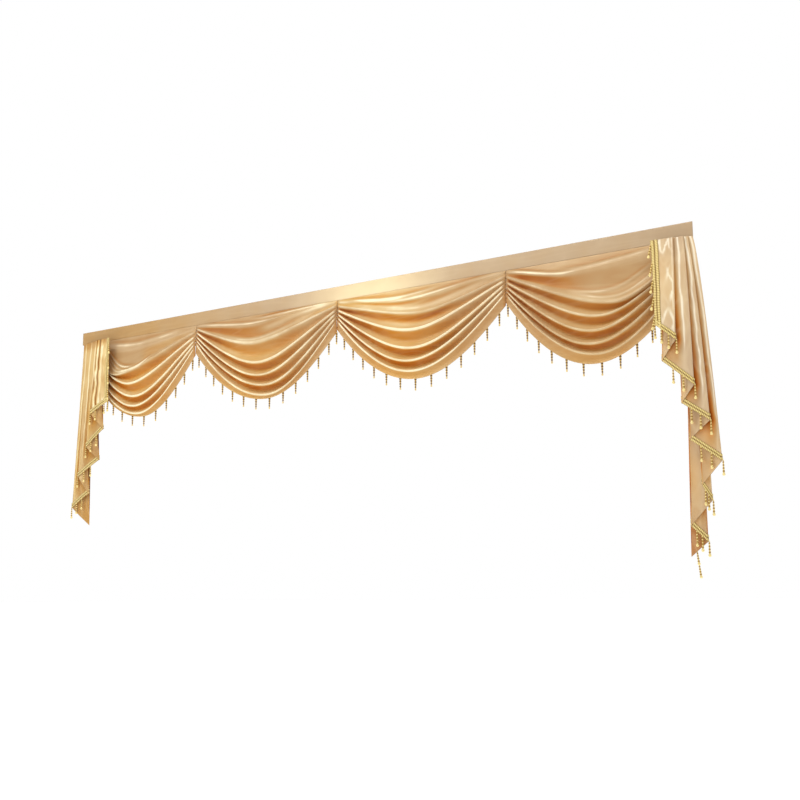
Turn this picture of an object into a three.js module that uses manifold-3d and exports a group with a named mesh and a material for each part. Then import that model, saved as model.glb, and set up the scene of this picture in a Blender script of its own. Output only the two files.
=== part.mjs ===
// Swag valance for a wide window, in satin: a flat heading band, four swags whose folds gather
// into pleat stacks at the joints, a cascading tail at each end, braid on the tails and bead
// drops on every hem. Millimetres: X along the valance, Y towards the wall, Z up; the origin is
// the middle of the top edge, on the back face of the band.
import * as THREE from "three";
import { mergeVertices } from "three/addons/utils/BufferGeometryUtils.js";
import Module from "manifold-3d";

// Heading band
const BAND_LENGTH = 3000;
const BAND_HEIGHT = 58.6;
const BAND_THICKNESS = 3;

// Satin of the swags and tails, and the gap left at each seam
const SWAG_THICKNESS = 2;
const TAIL_THICKNESS = 1.2;
const SEAM_GAP = 0.3;
const SEAM_FORWARD = 3.2;
const JOINT_INSET = 1;

// How taut the first fold and the hem hang: a taut one is straight on both sides of its low point
const FIRST_FOLD_TAUT = 3.8;
const HEM_TAUT = 0.65;
// The folds swell out fast beside the joints; each hollow is deepest a little past halfway to the
// next ridge, has a round bottom, and is shallow at the joints
const FOLD_SWELL = 0.8;
const FOLD_LEAN = 1.1;
const FOLD_ROUND = 1.2;
const HOLLOW_AT_JOINTS = 0.25;

// Strip of seam allowance behind each joint of two swags
const JOINTS = [-764, 10.2, 784.6];
const JOINT_STRIP = { width: 12, height: 122, near: 0.4, far: 1.9 };

// Tape behind the swag hems, braid on the tails, and the bead drops
const TAPE_THICKNESS = 1.5;
const TAPE_WIDTH = 10;
const TAPE_ABOVE_HEM = 3;
const TAPE_CLEAR = 0.5;
const TAPE_HIGHEST = 0.9;
const BRAID_WIDTH = 22;
const BRAID_THICKNESS = 1.15;
const BRAID_CLEAR = 0.35;
const DROP_LENGTH = 48;
const DROP_WIDTH = 3.6;
const DROP_ROOT = 1.5;
const DROP_STAND = 0.2;
const EDGE_DROP_FORWARD = 8;

// How far apart the rows of one fold lie, from its ridge (0) to the next ridge (1)
const FOLD_STEPS = [0, 0.25, 0.5, 0.8];
const SWAG_COLUMNS = 14;
const CROWDED_AT_JOINTS = 0.6;

// The swags: where each begins and ends along the valance, and its folds from the band down.
// A fold's columns: left, low, right = depth below the top edge at the left joint, at its lowest
// point and at the right joint; at = where it is lowest, as a share of the width; out = how far
// its ridge stands off the wall there; edge = the same at the joints; tuck = depth of the hollow
// between its ridge and the next.
// The drops' columns: first = distance of the first drop along the hem, pitch = spacing of the rest.
const FOLD_COLUMNS = ["left", "low", "right", "at", "out", "edge", "tuck"];
const SWAGS = [
  {
    name: "swag_1", from: -1440, to: -764.4, hideLeft: [60, 200],
    drops: { first: 65, pitch: 72.1, count: 12 },
    folds: [
      [58.9, 58.9, 58.9, 0.50, 3.2, 3.2, 3],
      [74, 120, 74, 0.45, 20, 6, 8],
      [92, 237, 86, 0.32, 44, 8, 20],
      [107, 287, 106, 0.46, 50, 9, 19],
      [120, 350, 121, 0.52, 52, 9, 19],
      [134, 394, 137, 0.52, 52, 10, 16],
      [154, 430, 154, 0.55, 50, 10, 4],
      [190, 448, 198, 0.59, 46, 9, 0],
    ],
  },
  {
    name: "swag_2", from: -763.6, to: 9.8,
    drops: { first: 37, pitch: 71.5, count: 14 },
    folds: [
      [58.9, 58.9, 58.9, 0.50, 3.2, 3.2, 2],
      [64, 102, 66, 0.41, 24, 6, 12],
      [76, 188, 79, 0.47, 46, 8, 21],
      [92, 279, 95, 0.52, 54, 9, 23],
      [110, 334, 108, 0.54, 56, 9, 21],
      [126, 378, 124, 0.57, 56, 10, 19],
      [140, 420, 143, 0.57, 52, 10, 4],
      [184, 438, 194, 0.56, 48, 9, 0],
    ],
  },
  {
    name: "swag_3", from: 10.6, to: 784.2,
    drops: { first: 62, pitch: 70.5, count: 13 },
    folds: [
      [58.9, 58.9, 58.9, 0.50, 3.2, 3.2, 3],
      [68, 112, 66, 0.44, 24, 6, 9],
      [84, 172, 81, 0.55, 42, 8, 17],
      [101, 238, 94, 0.51, 52, 9, 22],
      [117, 312, 110, 0.52, 56, 9, 21],
      [131, 360, 126, 0.50, 56, 10, 18],
      [145, 401, 146, 0.51, 52, 10, 4],
      [182, 434, 194, 0.52, 48, 9, 0],
    ],
  },
  {
    name: "swag_4", from: 785, to: 1496, hideRight: [50, 130],
    drops: { first: 10, pitch: 69.6, count: 14 },
    folds: [
      [58.9, 58.9, 58.9, 0.50, 3.2, 3.2, 2],
      [66, 114, 72, 0.37, 26, 7, 12],
      [82, 249, 97, 0.62, 48, 9, 19],
      [104, 291, 112, 0.55, 52, 9, 19],
      [121, 342, 128, 0.52, 54, 10, 20],
      [137, 388, 142, 0.51, 54, 10, 18],
      [150, 426, 159, 0.53, 52, 10, 4],
      [184, 461, 200, 0.51, 48, 9, 0],
    ],
  },
];

// The tails: one row per fold line, from the free edge beside the swag to the last layer behind.
// A row's columns: the fold's place along the valance at the top and at the hem, and the depth of
// the hem there. The layers step back from the front one by equal amounts; flare shapes how soon
// the folds spread on the way down. Drops hang beside the free edge, edgeSpread off it at their
// ends; the long drop hangs behind the layer after its fold.
const PLEAT_COLUMNS = ["top", "hem", "depth"];
const TAILS = [
  {
    side: "left", face: 1, flare: 1.2, frontTop: -52, stepTop: 5.84, frontHem: -72, stepHem: 6.4,
    edgeDrops: [0.1, 0.34, 0.58, 0.82], edgeSpread: 10,
    pleats: [
      [-1264, -1238, 362], [-1354, -1357, 411],
      [-1320, -1278, 486], [-1398, -1391, 562],
      [-1365, -1311, 624], [-1446, -1453, 694],
      [-1420, -1386, 774], [-1480, -1499, 835],
      [-1420, -1387, 919],
    ],
  },
  {
    side: "right", face: -1, flare: 0.7, frontTop: -52, stepTop: 3.9, frontHem: -86, stepHem: 5.4,
    edgeDrops: [0.05, 0.27, 0.47, 0.67, 0.9], edgeSpread: 6,
    longDrop: { fold: 11, length: 84, aside: 10 },
    pleats: [
      [1366, 1384, 362], [1446, 1450, 419],
      [1410, 1399, 485], [1478, 1502, 574],
      [1440, 1456, 631], [1489, 1545, 694],
      [1458, 1474, 752], [1505, 1575, 827],
      [1468, 1504, 901], [1500, 1533, 953],
      [1472, 1457, 1031], [1498, 1509, 1083],
      [1474, 1449, 1130],
    ],
  },
];
const TAIL_TOP = BAND_HEIGHT + SEAM_GAP;
const TAIL_ROWS = [0, 0.1, 0.25, 0.45, 0.7];
const PANEL_POINTS = [0.36, 0.68];
const PLEAT_BOW = 2.4;
const SHARPEST_MITRE = 0.5;
const OUTER_FOLD_RADIUS = { top: 1.1, hem: 1.5 };
const INNER_FOLD_RADIUS = { top: 1.1, hem: 2.4 };

const SATIN = { color: 0xd9b878, roughness: 0.4, metalness: 0.0 };
const BAND_SATIN = { color: 0xc6a878, roughness: 0.45, metalness: 0.0 };
const BRAID_THREAD = { color: 0xe0c466, roughness: 0.5, metalness: 0.0 };
const BEAD_GOLD = { color: 0xe0c05a, roughness: 0.3, metalness: 0.2 };

function named(row, columns) {
  return Object.fromEntries(columns.map((column, k) => [column, row[k]]));
}

function mix(a, b, share) {
  return a + (b - a) * share;
}

function smooth(from, to, value) {
  const t = Math.min(1, Math.max(0, (value - from) / (to - from)));
  return t * t * (3 - 2 * t);
}

// A closed sheet between two grids of points, for the cells that the pattern keeps.
function sheet(front, back, keeps = () => true) {
  const rows = front.length;
  const columns = front[0].length;
  const points = [...front.flat(), ...back.flat()];
  const behind = rows * columns;
  const faces = [];
  const at = (r, c) => r * columns + c;
  const kept = (r, c) => r >= 0 && c >= 0 && r < rows - 1 && c < columns - 1 && keeps(r, c);
  const wall = (a, b) => faces.push([a, b, b + behind], [a, b + behind, a + behind]);
  for (let r = 0; r < rows - 1; r += 1) {
    for (let c = 0; c < columns - 1; c += 1) {
      if (!kept(r, c)) continue;
      const [p, q, s, t] = [at(r, c), at(r, c + 1), at(r + 1, c + 1), at(r + 1, c)];
      faces.push([p, t, s], [p, s, q]);
      faces.push([p + behind, s + behind, t + behind], [p + behind, q + behind, s + behind]);
      if (!kept(r - 1, c)) wall(p, q);
      if (!kept(r, c + 1)) wall(q, s);
      if (!kept(r + 1, c)) wall(s, t);
      if (!kept(r, c - 1)) wall(t, p);
    }
  }
  const geometry = new THREE.BufferGeometry();
  const used = [...new Set(faces.flat())];
  const place = new Map(used.map((point, k) => [point, k]));
  const corners = used.flatMap((point) => points[point].toArray());
  geometry.setAttribute("position", new THREE.Float32BufferAttribute(corners, 3));
  geometry.setIndex(faces.flat().map((point) => place.get(point)));
  return geometry;
}

// The direction in which the front of a grid faces, at one of its points.
function facing(grid, r, c) {
  const rowA = grid[Math.max(0, r - 1)];
  const rowB = grid[Math.min(grid.length - 1, r + 1)];
  const down = rowB[c].clone().sub(rowA[c]);
  const columnA = grid[r][Math.max(0, c - 1)];
  const columnB = grid[r][Math.min(grid[r].length - 1, c + 1)];
  const along = columnB.clone().sub(columnA);
  return down.cross(along).normalize();
}

function offset(grid, distance) {
  return grid.map((row, r) =>
    row.map((point, c) => point.clone().addScaledVector(facing(grid, r, c), distance)));
}

// Swags

// Depth of a fold's ridge below the top edge, at a share of the swag's width.
function foldDepth(fold, share) {
  const reach = share < fold.at ? fold.at : 1 - fold.at;
  const away = Math.abs(share - fold.at) / reach;
  const hung = fold.low - mix(fold.left, fold.right, fold.at);
  const climb = (Math.hypot(1, fold.taut * away) - 1) / (Math.hypot(1, fold.taut) - 1);
  return mix(fold.left, fold.right, share) + hung * (1 - climb);
}

// Point of the middle of a swag's cloth: a step of 0.3 of the way below fold 2 is 2.3.
function swagPoint(swag, folds, share, step) {
  const k = Math.min(folds.length - 2, Math.floor(step));
  const s = step - k;
  const x = mix(swag.from + JOINT_INSET, swag.to - JOINT_INSET, share);
  let hidden = 1;
  if (swag.hideLeft) hidden = smooth(...swag.hideLeft, x - swag.from);
  if (swag.hideRight) hidden = smooth(...swag.hideRight, swag.to - x);
  const swell = (4 * share * (1 - share)) ** FOLD_SWELL;
  const ridge = (fold) => mix(fold.edge, fold.out, swell);
  const hollow = folds[k].tuck * mix(HOLLOW_AT_JOINTS, 1, swell)
    * Math.sin(Math.PI * s ** FOLD_LEAN) ** FOLD_ROUND;
  const out = mix(ridge(folds[k]), ridge(folds[k + 1]), s) - hollow;
  const depth = mix(foldDepth(folds[k], share), foldDepth(folds[k + 1], share), s);
  return new THREE.Vector3(x, -mix(SEAM_FORWARD, out, hidden), -depth);
}

function swagGrid(swag) {
  const hem = swag.folds.length - 1;
  const folds = swag.folds.map((row, k) => (
    { ...named(row, FOLD_COLUMNS), taut: mix(FIRST_FOLD_TAUT, HEM_TAUT, k / hem) }));
  const steps = folds.slice(0, -2).flatMap((_, k) => FOLD_STEPS.map((s) => k + s));
  steps.push(folds.length - 2, folds.length - 1.5, folds.length - 1);
  return steps.map((step) => {
    const row = [];
    for (let c = 0; c <= SWAG_COLUMNS; c += 1) {
      const even = c / SWAG_COLUMNS;
      const crowded = 0.5 - 0.5 * Math.cos(Math.PI * even);
      row.push(swagPoint(swag, folds, mix(even, crowded, CROWDED_AT_JOINTS), step));
    }
    return row;
  });
}

// Tape behind a swag's hem: two rows of points, along the hem and a tape's width above it.
function tapeGrid(grid) {
  const hem = grid[grid.length - 1];
  const above = grid[grid.length - 2];
  const rowAt = (height) => hem.map((point, c) => {
    const gap = point.distanceTo(above[c]);
    return point.clone().lerp(above[c], Math.min(TAPE_HIGHEST, height / gap));
  });
  return [rowAt(TAPE_ABOVE_HEM + TAPE_WIDTH), rowAt(TAPE_ABOVE_HEM)];
}

// Tails

// One level of the pleated cloth, seen from above: the points of its middle, and its columns.
function tailColumns(tail) {
  const pleats = tail.pleats.map((row) => named(row, PLEAT_COLUMNS));
  const columns = [];
  pleats.forEach((pleat, i) => {
    const last = i === pleats.length - 1;
    if (i > 0 && !last) {
      columns.push({ i, turn: -1 }, { i, turn: 0 }, { i, turn: 1 });
    } else {
      columns.push({ i, turn: 0 });
    }
    if (last) return;
    const width = Math.abs(pleats[i + 1].hem - pleat.hem);
    const inner = i === 0 ? [BRAID_WIDTH / width, PANEL_POINTS[1]] : PANEL_POINTS;
    inner.forEach((share) => columns.push({ i, share }));
  });
  return columns.map((column) => ({ ...column, pleats }));
}

function tailPoint(tail, column, level) {
  const { pleats, i, share, turn } = column;
  const across = share ?? 0;
  const next = Math.min(pleats.length - 1, i + 1);
  const length = mix(pleats[i].depth, pleats[next].depth, across) - TAIL_TOP;
  const v = level < 0 ? 1 + level / length : level;
  const flare = v ** tail.flare;
  const foldX = (k) => mix(pleats[k].top, pleats[k].hem, flare);
  const foldY = (k) => mix(tail.frontTop + k * tail.stepTop, tail.frontHem + k * tail.stepHem, v);
  const size = i % 2 ? OUTER_FOLD_RADIUS : INNER_FOLD_RADIUS;
  const radius = mix(size.top, size.hem, v);
  let x = mix(foldX(i), foldX(next), across);
  let y = mix(foldY(i), foldY(next), across) - PLEAT_BOW * v * Math.sin(Math.PI * across);
  if (turn) {
    x += Math.sign(foldX(next) - foldX(i)) * radius;
    y += turn * radius;
  }
  return new THREE.Vector3(x, y, -TAIL_TOP - v * length);
}

// Levels are shares of each column's length; the last but one is a braid's width above the hem.
function tailGrid(tail) {
  const columns = tailColumns(tail);
  return [...TAIL_ROWS, -BRAID_WIDTH, 1].map((level) =>
    columns.map((column) => tailPoint(tail, column, level)));
}

// The pleated cloth moved sideways towards its face, level by level.
function tailOffset(tail, grid, distance) {
  return grid.map((row) => row.map((point, c) => {
    const before = row[Math.max(0, c - 1)];
    const after = row[Math.min(row.length - 1, c + 1)];
    const a = new THREE.Vector2(point.x - before.x, point.y - before.y);
    const b = new THREE.Vector2(after.x - point.x, after.y - point.y);
    if (a.length() === 0) a.copy(b);
    if (b.length() === 0) b.copy(a);
    a.normalize();
    b.normalize();
    const mean = a.clone().add(b).normalize();
    const reach = distance / Math.max(SHARPEST_MITRE, mean.dot(a));
    return new THREE.Vector3(
      point.x - tail.face * mean.y * reach,
      point.y + tail.face * mean.x * reach,
      point.z,
    );
  }));
}

// Bead drops

// A four-sided drop between two points.
function drop(top, bottom) {
  const half = DROP_WIDTH / 2;
  const ring = (p) => [[-half, -half], [half, -half], [half, half], [-half, half]]
    .map(([dx, dy]) => new THREE.Vector3(p.x + dx, p.y + dy, p.z));
  const corners = [...ring(top), ...ring(bottom)];
  const geometry = new THREE.BufferGeometry();
  const numbers = corners.flatMap((corner) => corner.toArray());
  geometry.setAttribute("position", new THREE.Float32BufferAttribute(numbers, 3));
  const faces = [[0, 1, 2], [0, 2, 3], [4, 6, 5], [4, 7, 6]];
  for (let k = 0; k < 4; k += 1) {
    const n = (k + 1) % 4;
    faces.push([k, k + 4, n + 4], [k, n + 4, n]);
  }
  geometry.setIndex(faces.flat());
  return geometry;
}

// Points at an even pitch along a line of points, from a first one; the last stays on the line.
function spread(line, { first, pitch, count }) {
  const lengths = [0];
  line.slice(1).forEach((point, k) => lengths.push(lengths[k] + point.distanceTo(line[k])));
  const total = lengths[lengths.length - 1];
  return Array.from({ length: count }, (_, k) => {
    const wanted = Math.min(total - DROP_WIDTH, first + pitch * k);
    const n = lengths.findIndex((length) => length >= wanted);
    const share = (wanted - lengths[n - 1]) / (lengths[n] - lengths[n - 1]);
    return line[n - 1].clone().lerp(line[n], share);
  });
}

function hangingDrops(points) {
  return points.map((point) => {
    const root = point.clone().setZ(point.z + DROP_ROOT);
    return drop(root, point.clone().setZ(point.z - DROP_LENGTH));
  });
}

const SAME_POINT = 1e-4;
const wasm = await Module();
wasm.setup();

function solid(geometry) {
  const merged = mergeVertices(geometry, SAME_POINT);
  return new wasm.Manifold(new wasm.Mesh({
    numProp: 3,
    vertProperties: new Float32Array(merged.attributes.position.array),
    triVerts: new Uint32Array(merged.index.array),
  }));
}

function joined(backing, drops) {
  const made = drops.reduce((whole, piece) => whole.add(solid(piece)), solid(backing)).getMesh();
  const geometry = new THREE.BufferGeometry();
  geometry.setAttribute("position", new THREE.Float32BufferAttribute(made.vertProperties, 3));
  geometry.setIndex(Array.from(made.triVerts));
  return geometry;
}

// The valance

const valance = new THREE.Group();

function place(name, geometry, look) {
  const mesh = new THREE.Mesh(geometry, new THREE.MeshStandardMaterial(look));
  mesh.name = name;
  valance.add(mesh);
}

const band = new THREE.BoxGeometry(BAND_LENGTH, BAND_THICKNESS, BAND_HEIGHT);
band.translate(0, -BAND_THICKNESS / 2, -BAND_HEIGHT / 2);
band.deleteAttribute("normal").deleteAttribute("uv");
place("heading_band", mergeVertices(band), BAND_SATIN);

JOINTS.forEach((joint, n) => {
  const { width, height, near, far } = JOINT_STRIP;
  const strip = new THREE.BoxGeometry(width, far - near, height);
  strip.translate(joint, -(near + far) / 2, -BAND_HEIGHT - SEAM_GAP - height / 2);
  strip.deleteAttribute("normal").deleteAttribute("uv");
  place(`joint_strip_${n + 1}`, mergeVertices(strip), BAND_SATIN);
});

SWAGS.forEach((swag, n) => {
  const grid = swagGrid(swag);
  const half = SWAG_THICKNESS / 2;
  place(swag.name, sheet(offset(grid, half), offset(grid, -half)), SATIN);

  const tape = tapeGrid(grid);
  const near = half + TAPE_CLEAR;
  const far = near + TAPE_THICKNESS;
  const backing = sheet(offset(tape, -near), offset(tape, -far));
  const line = offset(tape, -(near + DROP_WIDTH / 2 + DROP_STAND))[1];
  place(`bead_trim_${n + 1}`, joined(backing, hangingDrops(spread(line, swag.drops))), BEAD_GOLD);
});

TAILS.forEach((tail) => {
  const grid = tailGrid(tail);
  const half = TAIL_THICKNESS / 2;
  const faceSide = tailOffset(tail, grid, half);
  const backSide = tailOffset(tail, grid, -half);
  const cloth = tail.face < 0 ? sheet(faceSide, backSide) : sheet(backSide, faceSide);
  place(`tail_${tail.side}`, cloth, SATIN);

  const near = tailOffset(tail, grid, half + BRAID_CLEAR);
  const far = tailOffset(tail, grid, half + BRAID_CLEAR + BRAID_THICKNESS);
  const keeps = (r, c) => r === grid.length - 2 || c === 0;
  const braid = tail.face < 0 ? sheet(far, near, keeps) : sheet(near, far, keeps);

  const middle = tailOffset(tail, grid, half + BRAID_CLEAR + DROP_WIDTH / 2 + DROP_STAND);
  const hem = middle[middle.length - 1];
  const columns = tailColumns(tail);
  const hemDrops = hem.filter((_, c) => {
    const column = columns[c];
    return column.i % 2 === 0 && (column.share || column.i === 0);
  });
  columns.forEach((column, c) => {
    if (column.i % 2 && column.turn === 0) hemDrops.push(hem[c]);
  });
  const outward = Math.sign(tail.pleats[0][1] - tail.pleats[1][1]);
  const edgeDrops = tail.edgeDrops.map((share) => {
    const along = share * (middle.length - 1);
    const r = Math.floor(along);
    const start = middle[r][0].clone().lerp(middle[r + 1][0], along - r);
    const end = start.clone();
    start.x -= outward * DROP_ROOT;
    end.x += outward * tail.edgeSpread;
    end.y -= EDGE_DROP_FORWARD;
    end.z -= DROP_LENGTH;
    return drop(start, end);
  });
  if (tail.longDrop) {
    const { fold, length, aside } = tail.longDrop;
    const root = hem[columns.findIndex((column) => column.i === fold && column.share > 0.5)].clone();
    edgeDrops.push(drop(root, new THREE.Vector3(root.x + aside, root.y, root.z - length)));
  }
  place(`braid_${tail.side}`, joined(braid, [...hangingDrops(hemDrops), ...edgeDrops]), BRAID_THREAD);
});

export default valance;
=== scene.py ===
"""A satin swag valance for a wide window: heading band, four swags, two tails, braid and bead drops."""

import math

import bmesh
import bpy
from mathutils import Matrix, Vector, noise


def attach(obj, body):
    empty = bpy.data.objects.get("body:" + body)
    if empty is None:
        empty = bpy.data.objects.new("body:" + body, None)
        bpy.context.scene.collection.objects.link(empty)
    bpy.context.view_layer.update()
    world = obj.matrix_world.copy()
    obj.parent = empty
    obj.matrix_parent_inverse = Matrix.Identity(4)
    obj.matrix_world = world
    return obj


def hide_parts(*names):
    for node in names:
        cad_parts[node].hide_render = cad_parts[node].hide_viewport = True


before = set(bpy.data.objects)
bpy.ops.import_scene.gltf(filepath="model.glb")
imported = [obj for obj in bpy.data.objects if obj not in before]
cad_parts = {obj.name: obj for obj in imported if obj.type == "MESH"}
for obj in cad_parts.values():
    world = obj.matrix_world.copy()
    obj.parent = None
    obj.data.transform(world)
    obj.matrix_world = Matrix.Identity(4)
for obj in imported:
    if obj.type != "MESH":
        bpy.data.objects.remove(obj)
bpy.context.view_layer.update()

# Heading band: a straight strip of the same satin, stiffened with tape and folded under at its
# lower edge, where everything else is sewn to it. It hangs by its top edge.
MM = 0.001
BAND_LENGTH, BAND_HEIGHT, BAND_THICKNESS = 3000, 58.6, 3.0
BAND_CLOTH, BAND_COLUMNS, BAND_ROWS = 2.4, 600, 16


def colour_of(sheet_hex):
    """Linear colour of an sRGB hex such as C6A878."""
    parts = [int(sheet_hex[k:k + 2], 16) / 255 for k in (0, 2, 4)]
    return tuple(c / 12.92 if c <= 0.04045 else ((c + 0.055) / 1.055) ** 2.4 for c in parts) + (1.0,)


def add_node(tree, kind, settings=None, links=None, steps=()):
    """A node with its settings, its incoming links, as socket name or number: value or output, and
    the steps of a colour ramp, as (position, hex)."""
    node = tree.nodes.new(kind)
    for name, value in (settings or {}).items():
        setattr(node, name, value)
    for socket, value in (links or {}).items():
        if isinstance(value, bpy.types.NodeSocket):
            tree.links.new(value, node.inputs[socket])
        else:
            node.inputs[socket].default_value = value
    if steps:
        stops = node.color_ramp.elements
        while len(stops) < len(steps):
            stops.new(0.5)
        for stop, (position, sheet_hex) in zip(stops, steps):
            stop.position = position
            stop.color = colour_of(sheet_hex)
    return node


def new_material(name):
    """A new material, its nodes and its shader."""
    material = bpy.data.materials.new(name)
    material.use_nodes = True
    tree = material.node_tree
    shader = tree.nodes["Principled BSDF"]
    return material, tree, shader


def highlight_lines(tree, place, scale, width):
    """Thin wandering lines for painted highlights, where a stretched noise passes through its middle value.
    """
    stretched = add_node(tree, "ShaderNodeMapping", links={"Vector": place, "Scale": scale})
    waves = add_node(tree, "ShaderNodeTexNoise", links={
        "Vector": stretched.outputs["Vector"], "Scale": 1.0, "Detail": 0.6, "Distortion": 0.5})
    centred = add_node(tree, "ShaderNodeMath", {"operation": "SUBTRACT"}, {0: waves.outputs["Fac"], 1: 0.5})
    away = add_node(tree, "ShaderNodeMath", {"operation": "ABSOLUTE"}, {0: centred.outputs[0]})
    line = add_node(tree, "ShaderNodeMapRange", {"interpolation_type": "SMOOTHSTEP"}, {
        "Value": away.outputs[0], "From Min": 0.0, "From Max": width, "To Min": 1.0, "To Max": 0.0})
    return line.outputs["Result"]


def satin(name, warm, cool, rough, highlight_streaks, crinkle=0.0):
    """Polyester satin, woven with long floats: a smooth face with a broad soft shine. Its colour carries
    painted light: painted shade by how deep in a fold it lies and painted highlights on the ridges
    ("fold"), painted warm light that the folds throw on each other ("glow") and painted highlight
    streaks. Threads 0.15 mm apart would not show, so the slubs are drawn coarser, about 1.1 mm high and 17
    mm long."""
    material, tree, shader = new_material(name)
    place = add_node(tree, "ShaderNodeTexCoord").outputs["Object"]
    # Painted light: "fold" is painted shade in the folds and painted highlight on the ridges, "glow" painted
    # warm light.
    fold = add_node(tree, "ShaderNodeAttribute", {"attribute_name": "fold"}).outputs["Fac"]
    glow = add_node(tree, "ShaderNodeAttribute", {"attribute_name": "glow"}).outputs["Fac"]
    cloud = add_node(tree, "ShaderNodeTexNoise", links={"Vector": place, "Scale": 9.0, "Detail": 2.0})
    shade = add_node(tree, "ShaderNodeMapRange", links={
        "Value": cloud.outputs["Fac"], "From Min": 0.3, "From Max": 0.7, "To Min": -0.05, "To Max": 0.05})
    depth = add_node(tree, "ShaderNodeMath", {"operation": "ADD", "use_clamp": True}, {
        0: fold, 1: shade.outputs["Result"]})
    painted_shade_and_highlight = depth.outputs[0]
    cool_tint = add_node(tree, "ShaderNodeValToRGB", links={"Fac": painted_shade_and_highlight}, steps=cool).outputs["Color"]
    warm_tint = add_node(tree, "ShaderNodeValToRGB", links={"Fac": painted_shade_and_highlight}, steps=warm).outputs["Color"]
    of_colours = {"data_type": "RGBA", "clamp_factor": True}
    tint = add_node(tree, "ShaderNodeMix", of_colours, {0: glow, 6: cool_tint, 7: warm_tint})
    # Painted highlight streaks of pale cream across the satin.
    scale, strength = highlight_streaks
    lines = highlight_lines(tree, place, scale, 0.11)
    amount = add_node(tree, "ShaderNodeMath", {"operation": "MULTIPLY"}, {0: lines, 1: strength})
    streak_highlighted = add_node(tree, "ShaderNodeMix", of_colours, {
        0: amount.outputs[0], 6: tint.outputs[2], 7: colour_of("F6E4B8")})
    tree.links.new(streak_highlighted.outputs[2], shader.inputs["Base Color"])
    slub = add_node(tree, "ShaderNodeMapping", links={"Vector": place, "Scale": (60.0, 60.0, 900.0)})
    weave = add_node(tree, "ShaderNodeTexNoise", links={
        "Vector": slub.outputs["Vector"], "Scale": 1.0, "Detail": 3.0})
    bump = add_node(tree, "ShaderNodeBump", links={
        "Strength": 0.1, "Distance": 0.0003, "Height": weave.outputs["Fac"]})
    normal = bump.outputs["Normal"]
    if crinkle:
        rumpled = add_node(tree, "ShaderNodeMapping", links={"Vector": place, "Scale": (30.0, 30.0, 15.0)})
        creases = add_node(tree, "ShaderNodeTexNoise", links={
            "Vector": rumpled.outputs["Vector"], "Scale": 1.0, "Detail": 2.0, "Distortion": 0.6})
        normal = add_node(tree, "ShaderNodeBump", links={
            "Strength": crinkle, "Distance": 0.006, "Height": creases.outputs["Fac"],
            "Normal": normal}).outputs["Normal"]
    tree.links.new(normal, shader.inputs["Normal"])
    shader.inputs["Roughness"].default_value = rough
    shader.inputs["IOR"].default_value = 1.5
    shine = add_node(tree, "ShaderNodeMapRange", links={
        "Value": fold, "From Min": 0.25, "From Max": 0.9, "To Min": 0.55, "To Max": 0.05})
    tree.links.new(shine.outputs["Result"], shader.inputs["Specular IOR Level"])
    shader.inputs["Specular Tint"].default_value = colour_of("FFEFD0")
    return material


def mesh_piece(name, bm, material, smooth=True):
    """The finished object of a bmesh, which it frees."""
    mesh = bpy.data.meshes.new(name)
    bm.to_mesh(mesh)
    bm.free()
    for face in mesh.polygons:
        face.use_smooth = smooth
    mesh.materials.append(material)
    piece = bpy.data.objects.new(name, mesh)
    bpy.context.scene.collection.objects.link(piece)
    return piece


def shaped_grid(across, down, point_at):
    """A grid of cloth of across by down squares, with point_at(column, row) giving each corner's
    place in mm, its fold, the painted shade and highlight, and its glow, the painted warm light."""
    bm = bmesh.new()
    bmesh.ops.create_grid(bm, x_segments=across, y_segments=down, size=0.5, calc_uvs=True)
    fold = bm.verts.layers.float.new("fold")
    glow = bm.verts.layers.float.new("glow")
    for vert in bm.verts:
        column = round((vert.co.x + 0.5) * across)
        row = round((0.5 - vert.co.y) * down)
        place, depth, warmth = point_at(column, row)
        vert.co = Vector(place) * MM
        vert[fold] = depth
        vert[glow] = warmth
    return bm


def thicken(piece, thickness):
    """Gives a sheet its cloth's thickness, in mm, half to each side."""
    solid = piece.modifiers.new("cloth thickness", "SOLIDIFY")
    solid.thickness = thickness * MM
    solid.offset = 0.0
    return piece


def wave(x, z, size, seed):
    """Soft unevenness between about -1 and 1, with hollows about size mm apart."""
    return 1.6 * noise.noise(Vector((x / size, z / size, seed)))


def glare(x):
    """How far the window's light lies on the cloth near the middle of the valance."""
    return math.exp(-abs((x - 170) / 280) ** 2.4)


def band_point(column, row):
    """Point of the middle of the band, its tone there, lighter where the window's light is painted on, and
    how warm that painted light makes it.
    """
    lower = row / BAND_ROWS
    x, z = BAND_LENGTH * (column / BAND_COLUMNS - 0.5), -BAND_HEIGHT * lower
    slack = 0.35 * wave(x, z, 170, 3.1) + 0.25 * lower * wave(x, 3 * z, 45, 8.4)
    lit = glare(x)
    dimmer = min(1.0, max(0.0, (-x - 200) / 900))
    tone = 0.42 + 0.33 * dimmer - 0.38 * lit * (0.6 + 0.4 * lower)
    return (x, -BAND_THICKNESS / 2 + 0.5 * slack, z), tone, lit


# Colour ramps of the band's satin from painted highlight at 0 to painted shade at 1; the warm one under the
# painted window light.
BAND_COOL = [(0.0, "DCC8A8"), (0.42, "BEA484"), (0.75, "BC9664"), (1.0, "8E6A40")]
BAND_WARM = [(0.0, "F6E2B6"), (0.5, "D8B888"), (1.0, "A48050")]
band_satin = satin(
    "stiffened satin of the heading band", BAND_WARM, BAND_COOL, 0.36, ((4.0, 4.0, 30.0), 0.04))
heading_band = mesh_piece("band_cloth", shaped_grid(BAND_COLUMNS, BAND_ROWS, band_point), band_satin)
thicken(heading_band, BAND_CLOTH)
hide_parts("heading_band")
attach(heading_band, "root")

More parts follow.
